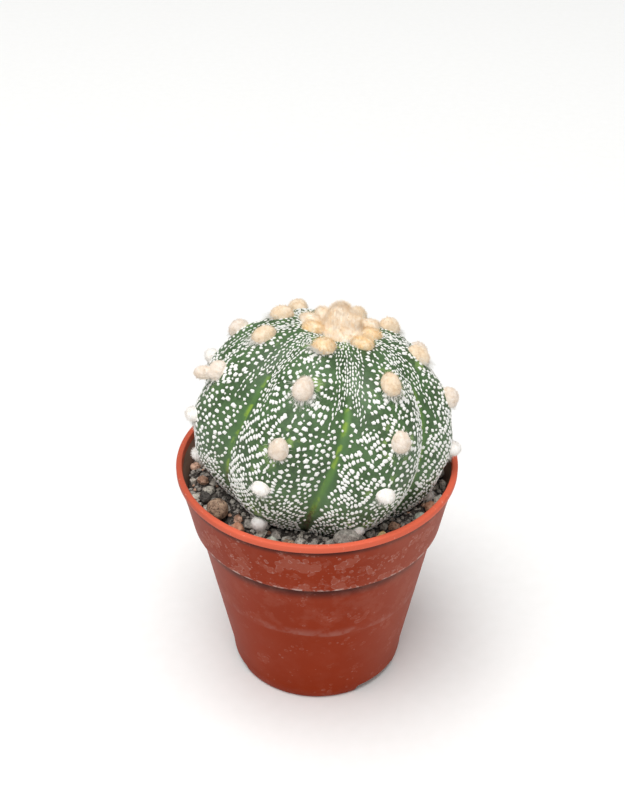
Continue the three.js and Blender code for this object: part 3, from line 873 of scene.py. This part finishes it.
tries = 90000
try_polar = np.degrees(np.arccos(dice.uniform(*np.cos(np.radians([140, 7])), tries)))
try_azimuth = dice.uniform(-180, 180, tries)
points = skin(try_azimuth, try_polar)
shares, widths = rib_share(try_azimuth)
gaps = shares * widths / across_rib(1, try_polar)
to_seat = np.linalg.norm(points[:, None] - seats[None], axis=2).min(1)
grooves = ((try_azimuth - crests[0]) % 360 // 45).astype(int)
halves_here = bare_half(grooves, try_polar)
flows = flow(try_azimuth, try_polar)
halves_here *= dice.uniform(0.68, 1.1, tries)
for i in range(tries):
    if to_seat[i] < 1.8 or gaps[i] < halves_here[i] + 0.45:
        continue
    low = np.clip((try_polar[i] - 92) / 28, 0, 1)
    if crowded(points[i], 1.04 - 0.26 * low):
        continue
    size = (0.98 - 0.3 * low) * dice.uniform(0.75, 1.2)
    take(points[i], try_azimuth[i], try_polar[i], size, 0.72 * size, flows[i] + dice.normal(0, 18))
    if dice.random() > 0.8:
        continue
    here_azimuth, here_polar = try_azimuth[i], try_polar[i]
    for _ in range(dice.integers(3, 9)):
        swing = math.radians(flow(here_azimuth, here_polar) + dice.normal(0, 9))
        here_polar = here_polar + math.degrees(0.72 * math.cos(swing) / 22.5)
        here_azimuth = here_azimuth + across_rib(0.72 * math.sin(swing), here_polar)
        point = skin(np.array([here_azimuth]), np.array([here_polar]))[0]
        share, width = rib_share(np.array([here_azimuth]))
        gap_here = share[0] * width[0] / across_rib(1, here_polar)
        bare_here = bare_half(int((here_azimuth - crests[0]) % 360 // 45), here_polar)
        bare_here = bare_here * dice.uniform(0.6, 1.05) if here_polar <= 140 else 0
        if here_polar > 140 or gap_here < bare_here + 0.35 or crowded(point, 0.66):
            break
        if np.linalg.norm(seats - point, axis=1).min() < 1.8:
            break
        wide = (1.0 - 0.28 * low) * dice.uniform(0.85, 1.15)
        long = dice.uniform(0.52, 0.72)
        take(point, here_azimuth, here_polar, wide, long, math.degrees(swing) + dice.normal(0, 14))
for i in range(0, tries, 9):  # a few smaller scales in the room that is left
    if to_seat[i] > 1.8 and gaps[i] > halves_here[i] + 0.4 and not crowded(points[i], 0.8):
        size = dice.uniform(0.4, 0.7)
        take(points[i], try_azimuth[i], try_polar[i], size, 0.8 * size, flows[i] + dice.normal(0, 40))

kept = np.array(kept)
points = skin(kept[:, 0], kept[:, 1])
normal, down = skin_axes(kept[:, 0], kept[:, 1])
swing = np.radians(kept[:, 4])[:, None]
along = down * np.cos(swing) + np.cross(normal, down) * np.sin(swing)
across = np.cross(along, normal)
thick = dice.uniform(0.55, 1.0, len(kept))
axes = np.stack([across * kept[:, 2, None], along * kept[:, 3, None], normal * thick[:, None]], 2) * MM
turn = np.array(UPRIGHT_TO_LEAN)
centre = np.array(CENTRE)
places = ((points - 0.03 * normal) @ turn.T + centre) * MM
axes = np.einsum("ij,njk->nik", turn, axes)
which = dice.integers(0, len(scale_masters), len(kept))
scales = strew("white_scales", scale_masters, which, places, axes, dice.random(len(kept)))
discard(scale_masters)
settle(scales)

# Wool and felt: cream hairs, with painted shade a little darker between them, and a scatter of paler ones.
takes = {"Pale": "Color", "Warm": "Color", "Shade": "Float"}
at, (pale, warm, shade), gives = shared("plant_wool", takes, made_of)
felt = at.tree
hairs, tufts = grainy(at, 0.22, 4.0, 0.75), grainy(at, 1.3, 5.0, 0.7)
tone = blend(clamped(fade(tufts, 0.35, 0.65, 0.0, 0.7) + shade * 0.3), pale, warm)
# Painted shade between the hairs, where the fine noise dips.
tone = blend(fade(hairs, 0.55, 0.3, 0.0, 0.25), tone, "#c3b19a", "MULTIPLY")
tone = blend(fade(shade, -0.2, -0.8), tone, "#f3f0ea")
speck = fade(grainy(at, 0.33, 2.0), 0.7, 0.74, 0.0, 0.5)
put(gives["Colour"], blend(speck, tone, "#a8765c"))
put(gives["Relief"], hairs)


def wool_look(name, pale, warm):
    """A wool material with its own two colours."""
    look, at = new_look(name)
    colour, relief = use(at, felt, pale, warm, stored(at, "shade"))
    shader = coat(look, colour, 0.95, relief, 0.6, 0.08)
    shader.inputs["Sheen Weight"].default_value = 0.25
    shader.inputs["Specular IOR Level"].default_value = 0.15
    return look


scales.data.materials.append(wool_look("white_felt", "#fdfdfb", "#f7f6f1"))
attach(scales, "root")

# ---------------------------------------------------------------------------
# The areoles
# Forty cushions of felted wool along the crests of the ribs, where spines would sit on other kinds. Young
# ones near the crown are long and peach, older ones round and beige, and the oldest, at the soil, white.

WOOLS = [  # the crown's wool, then that of each row of areoles from the crown down
    wool_look("crown_brush", "#fff4e4", "#f8dab0"), wool_look("young_wool", "#ffeed0", "#f5c67c"),
    wool_look("peach_wool", "#f8e7cf", "#e6c79f"), wool_look("beige_wool", "#f7ece1", "#e3ceb6"),
    wool_look("pale_wool", "#fffdfa", "#f7efe6"), wool_look("old_wool", "#fdfbf8", "#f5eee6"),
]
PADS = {  # row: spread, height, flatness, lumps, hairs, their length, loose hairs below, the longest of them
    1: (1.25, 1.2, 1.0, 0.3, 950, 1.4, 260, 2.6), 2: (0.9, 1.1, 1.0, 0.26, 620, 1.0, 170, 2.6),
    3: (0.9, 1.1, 1.0, 0.26, 620, 1.0, 90, 1.5), 4: (0.9, 1.1, 0.75, 0.26, 620, 1.0, 70, 1.5),
    5: (0.9, 1.1, 1.0, 0.26, 620, 1.0, 40, 1.5),
}
dice = np.random.default_rng(23)


def hair_master(name, bend):
    """A tapering hair, one unit long and one unit thick, curved to one side."""
    bpy.ops.mesh.primitive_circle_add(vertices=3, radius=0.5, fill_type="NGON")
    made = named(name)
    for lean, share in ((0.05, 0.85), (0.15, 0.75), (0.3, 0.45)):
        bpy.ops.mesh.extrude_region_move(TRANSFORM_OT_translate={"value": (bend * lean, 0, 1 / 3)})
        bpy.ops.transform.resize(value=(share, share, 1))
    face_out()
    settle(made)
    return made


def hairs_on(name, points, directions, lengths, thickness, bends, shades=None):
    """A coat of hairs rooted at points."""
    count = len(points)
    shades = dice.random(count) if shades is None else shades
    side = np.cross(directions, dice.normal(size=(count, 3)))
    side /= np.linalg.norm(side, axis=1)[:, None]
    third = np.cross(directions, side)
    axes = np.stack([side * thickness, third * thickness, directions * lengths[:, None]], 2)
    masters = [hair_master(f"hair_{k}", bend) for k, bend in enumerate(bends)]
    hairs = strew(name, masters, dice.integers(0, len(masters), count), points, axes, shades)
    discard(masters)
    return hairs


def wear(piece, hairs):
    """Joins a coat of hairs to the piece that it grows on."""
    piece.data.attributes.new("shade", "FLOAT", "POINT")
    only(piece)
    hairs.select_set(True)
    bpy.ops.object.join()
    bpy.ops.object.shade_smooth()
    settle(piece)


fluff = clouds("wool_fluff", 0.7, 2)
pads = sorted(n for n in cad if n.startswith("areole_rib"))
axis = np.array(LEAN)
for node in pads:
    rib, row = int(node[-3]), int(node[-1])
    grow, tall, flat, lumps, count, hair, skirt, longest = PADS[row]
    low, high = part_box(node)
    middle = (low + high) / 2
    nearest = plant_surface.find_nearest(middle)[0]
    outward = np.array(middle - nearest)
    outward /= np.linalg.norm(outward)
    down = -(axis - outward * (axis @ outward))
    down /= np.linalg.norm(down)
    across = np.cross(down, outward)
    corners = points_of(cad[node]) - np.array(middle)
    half_across, half_down = abs(corners @ across).max(), abs(corners @ down).max()
    rise = corners @ outward
    ball = node == "areole_rib2_5"  # felted up into a ball that rests on the grit
    if ball:
        grow, tall = 1.3, 1.65
    stand = (rise.max() - rise.min()) * tall
    bpy.ops.mesh.primitive_ico_sphere_add(subdivisions=4, radius=1)
    pad = named("wool_" + node)
    bpy.ops.object.mode_set(mode="OBJECT")
    for vertex in pad.data.vertices:
        vertex.co.z = vertex.co.z ** 0.85 if vertex.co.z > 0 else 0.4 * vertex.co.z
        if row < 4:
            vertex.co.x *= 1 + 0.16 * vertex.co.y
    frame_of_pad = Matrix((across, down, outward)).transposed()
    foot = np.array(nearest) + ((0.8 * outward + 1.3 * down) * MM if ball else 0)
    pad.matrix_world = Matrix.Translation(Vector(foot)) @ frame_of_pad.to_4x4() @ Matrix.Diagonal(
        (half_across * grow, half_down * grow * flat, stand, 1)
    )
    settle(pad)
    if node == "areole_rib1_3":  # two lobes side by side
        bpy.ops.mesh.primitive_uv_sphere_add(segments=24, ring_count=16, radius=1)
        lobe = bpy.context.object
        lobe.scale = (1.9 * MM, 1.15 * MM, 1.3 * MM)
        lobe.location = middle + Vector((-2.3, -0.3, -0.5)) * MM
        settle(lobe)
        only(pad)
        lobe.select_set(True)
        bpy.ops.object.join()
        modify(pad, "REMESH", mode="VOXEL", voxel_size=0.12 * MM)
    roughen(pad, fluff, lumps)
    surface = points_of(pad)
    normals = np.array([v.normal for v in pad.data.vertices])
    upper = np.flatnonzero((surface - np.array(nearest)) @ outward > 0.05 * MM)
    chosen = dice.choice(upper, count)
    ways = normals[chosen] + 0.8 * dice.normal(size=(count, 3))
    ways /= np.linalg.norm(ways, axis=1)[:, None]
    lengths = dice.uniform(0.22, 0.55, count) * hair * MM
    roots = surface[chosen] - 0.1 * MM * normals[chosen] + dice.normal(0, 0.05 * MM, (count, 3))
    # Loose hairs spread over the skin below the pad.
    fan = dice.normal(0, 0.75, skirt)[:, None]
    outline = down * np.cos(fan) + across * np.sin(fan)
    start = np.array(nearest) + outline * (half_across + half_down) * 0.4 * grow + outward * 0.25 * MM
    hang = outline + 0.22 * outward + 0.25 * dice.normal(size=(skirt, 3)) + 0.5 * down
    hang /= np.linalg.norm(hang, axis=1)[:, None]
    roots = np.concatenate([roots, start + dice.normal(0, 0.15 * MM, (skirt, 3))])
    ways = np.concatenate([ways, hang])
    lengths = np.concatenate([lengths, dice.uniform(0.6, longest, skirt) * MM])
    tones = np.concatenate([dice.random(count), np.full(skirt, -1.0)])
    hairs = hairs_on("coat", roots, ways, lengths, 0.045 * MM, (3.0, 6.0, -4.0), tones)
    wear(pad, hairs)
    tone = 0 if row == 1 and rib > 4 else 3 if row == 2 and rib == 2 else row  # paler behind and on this rib
    pad.data.materials.append(WOOLS[tone])
    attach(pad, "root")
    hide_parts(node)
    "crown_wool" if row == 1 else "areole_wool"

# ---------------------------------------------------------------------------
# The crown wool
# The tuft that protects the growing point: a thick brush of standing peach hairs, looser at its top, that runs
# into the wool of the youngest areoles and has fallen open on its right.

tuft_base = (CENTRE + LEAN * (HALF_HEIGHT - CROWN_DIP - 0.6)) * MM
TUFT = [
    (5.6, 0.4), (5.6, 1.3), (4.5, 2.1), (3.5, 2.8), (3.0, 3.5), (2.7, 4.4), (2.3, 5.3), (1.8, 6.1), (1.1, 6.7)
]
tuft = turned("crown_tuft", TUFT, 48)
bpy.ops.mesh.extrude_edges_move(TRANSFORM_OT_translate={"value": (0, 0, 0.15 * MM)})
bpy.ops.mesh.merge(type="CENTER")
face_out()
tuft_lean = Vector((0.05, 0.17, 1)).normalized()
axis = np.array(tuft_lean)
upright_to_tuft = Vector((0, 0, 1)).rotation_difference(tuft_lean).to_matrix().to_4x4()
tuft.matrix_world = Matrix.Translation(tuft_base) @ upright_to_tuft
settle(tuft)
modify(tuft, "SUBSURF", levels=2, render_levels=2)
SHOULDER_OUT, SHOULDER_HEIGHT, SHOULDER_REACH = 1.1, 3.9, 1.2
for vertex in tuft.data.vertices:
    above = (vertex.co - tuft_base) @ tuft_lean / MM - SHOULDER_HEIGHT
    to_right = min(max((vertex.co.x - tuft_base[0]) / (2.4 * MM), 0), 1)
    vertex.co.x += SHOULDER_OUT * MM * to_right * math.exp(-((above / SHOULDER_REACH) ** 2))
roughen(tuft, clouds("tuft_locks", 2.2, 1), 0.4)
surface = points_of(tuft)
normals = np.array([v.normal for v in tuft.data.vertices])
count = 6400
chosen = dice.integers(0, len(surface), count)
height_share = np.clip(((surface[chosen] - np.array(tuft_base)) @ axis) / (7.0 * MM), 0, 1)
ways = (
    axis[None] * (1.3 + 0.4 * height_share)[:, None]
    + normals[chosen] * (0.55 + 0.3 * height_share)[:, None]
    + 0.3 * dice.normal(size=(count, 3))
)
ways /= np.linalg.norm(ways, axis=1)[:, None]
lengths = dice.uniform(0.5, 1.7, count) * (1 - 0.35 * height_share) * MM
roots = surface[chosen] - 0.2 * MM * normals[chosen]
hairs = hairs_on("tuft_coat", roots, ways, lengths, 0.036 * MM, (2.0, 5.0, -3.0))
wear(tuft, hairs)
tuft.data.materials.append(WOOLS[0])
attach(tuft, "root")
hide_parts("crown_wool")

# ---------------------------------------------------------------------------
# The table top, the light and the camera
# A plain pale surface under one broad soft lamp overhead and a weaker one in front, in a bright plain room.

bpy.ops.mesh.primitive_circle_add(vertices=96, radius=3.0, fill_type="NGON")
floor = bpy.context.object
floor.name = "pale_table"
table_look, at = new_look("pale_matt_board")
coat(table_look, blend(grainy(at, 3.0, 3.0), "#f3f3f1", "#f8f8f7"), 0.9)
floor.data.materials.append(table_look)

world = bpy.data.worlds.new("soft_room")
bpy.context.scene.world = world
world.use_nodes = True
world.node_tree.nodes["Background"].inputs["Color"].default_value = (1.0, 1.0, 1.0, 1.0)
world.node_tree.nodes["Background"].inputs["Strength"].default_value = 0.34


def lamp(name, size, power, place, target):
    """A square soft lamp that faces a point."""
    bpy.ops.object.light_add(type="AREA", location=place)
    made = bpy.context.object
    made.name = name
    made.data.size = size
    made.data.energy = power
    made.rotation_euler = (Vector(target) - Vector(place)).to_track_quat("-Z", "Y").to_euler()


lamp("overhead", 1.5, 37.0, (-0.25, -0.35, 1.9), (0, 0, 0.05))
lamp("front", 1.0, 3.6, (0.5, -1.4, 0.9), (0, 0, 0.04))

bpy.ops.object.camera_add(location=(0, -0.1948, 0.1917), rotation=(math.radians(90 - 38.8), 0, 0))
camera = bpy.context.object
camera.data.lens = 55.86
camera.data.shift_x, camera.data.shift_y = -0.0057, 0.148
camera.data.clip_start = 0.01
bpy.context.scene.camera = camera
bpy.context.scene.view_settings.view_transform = "Standard"
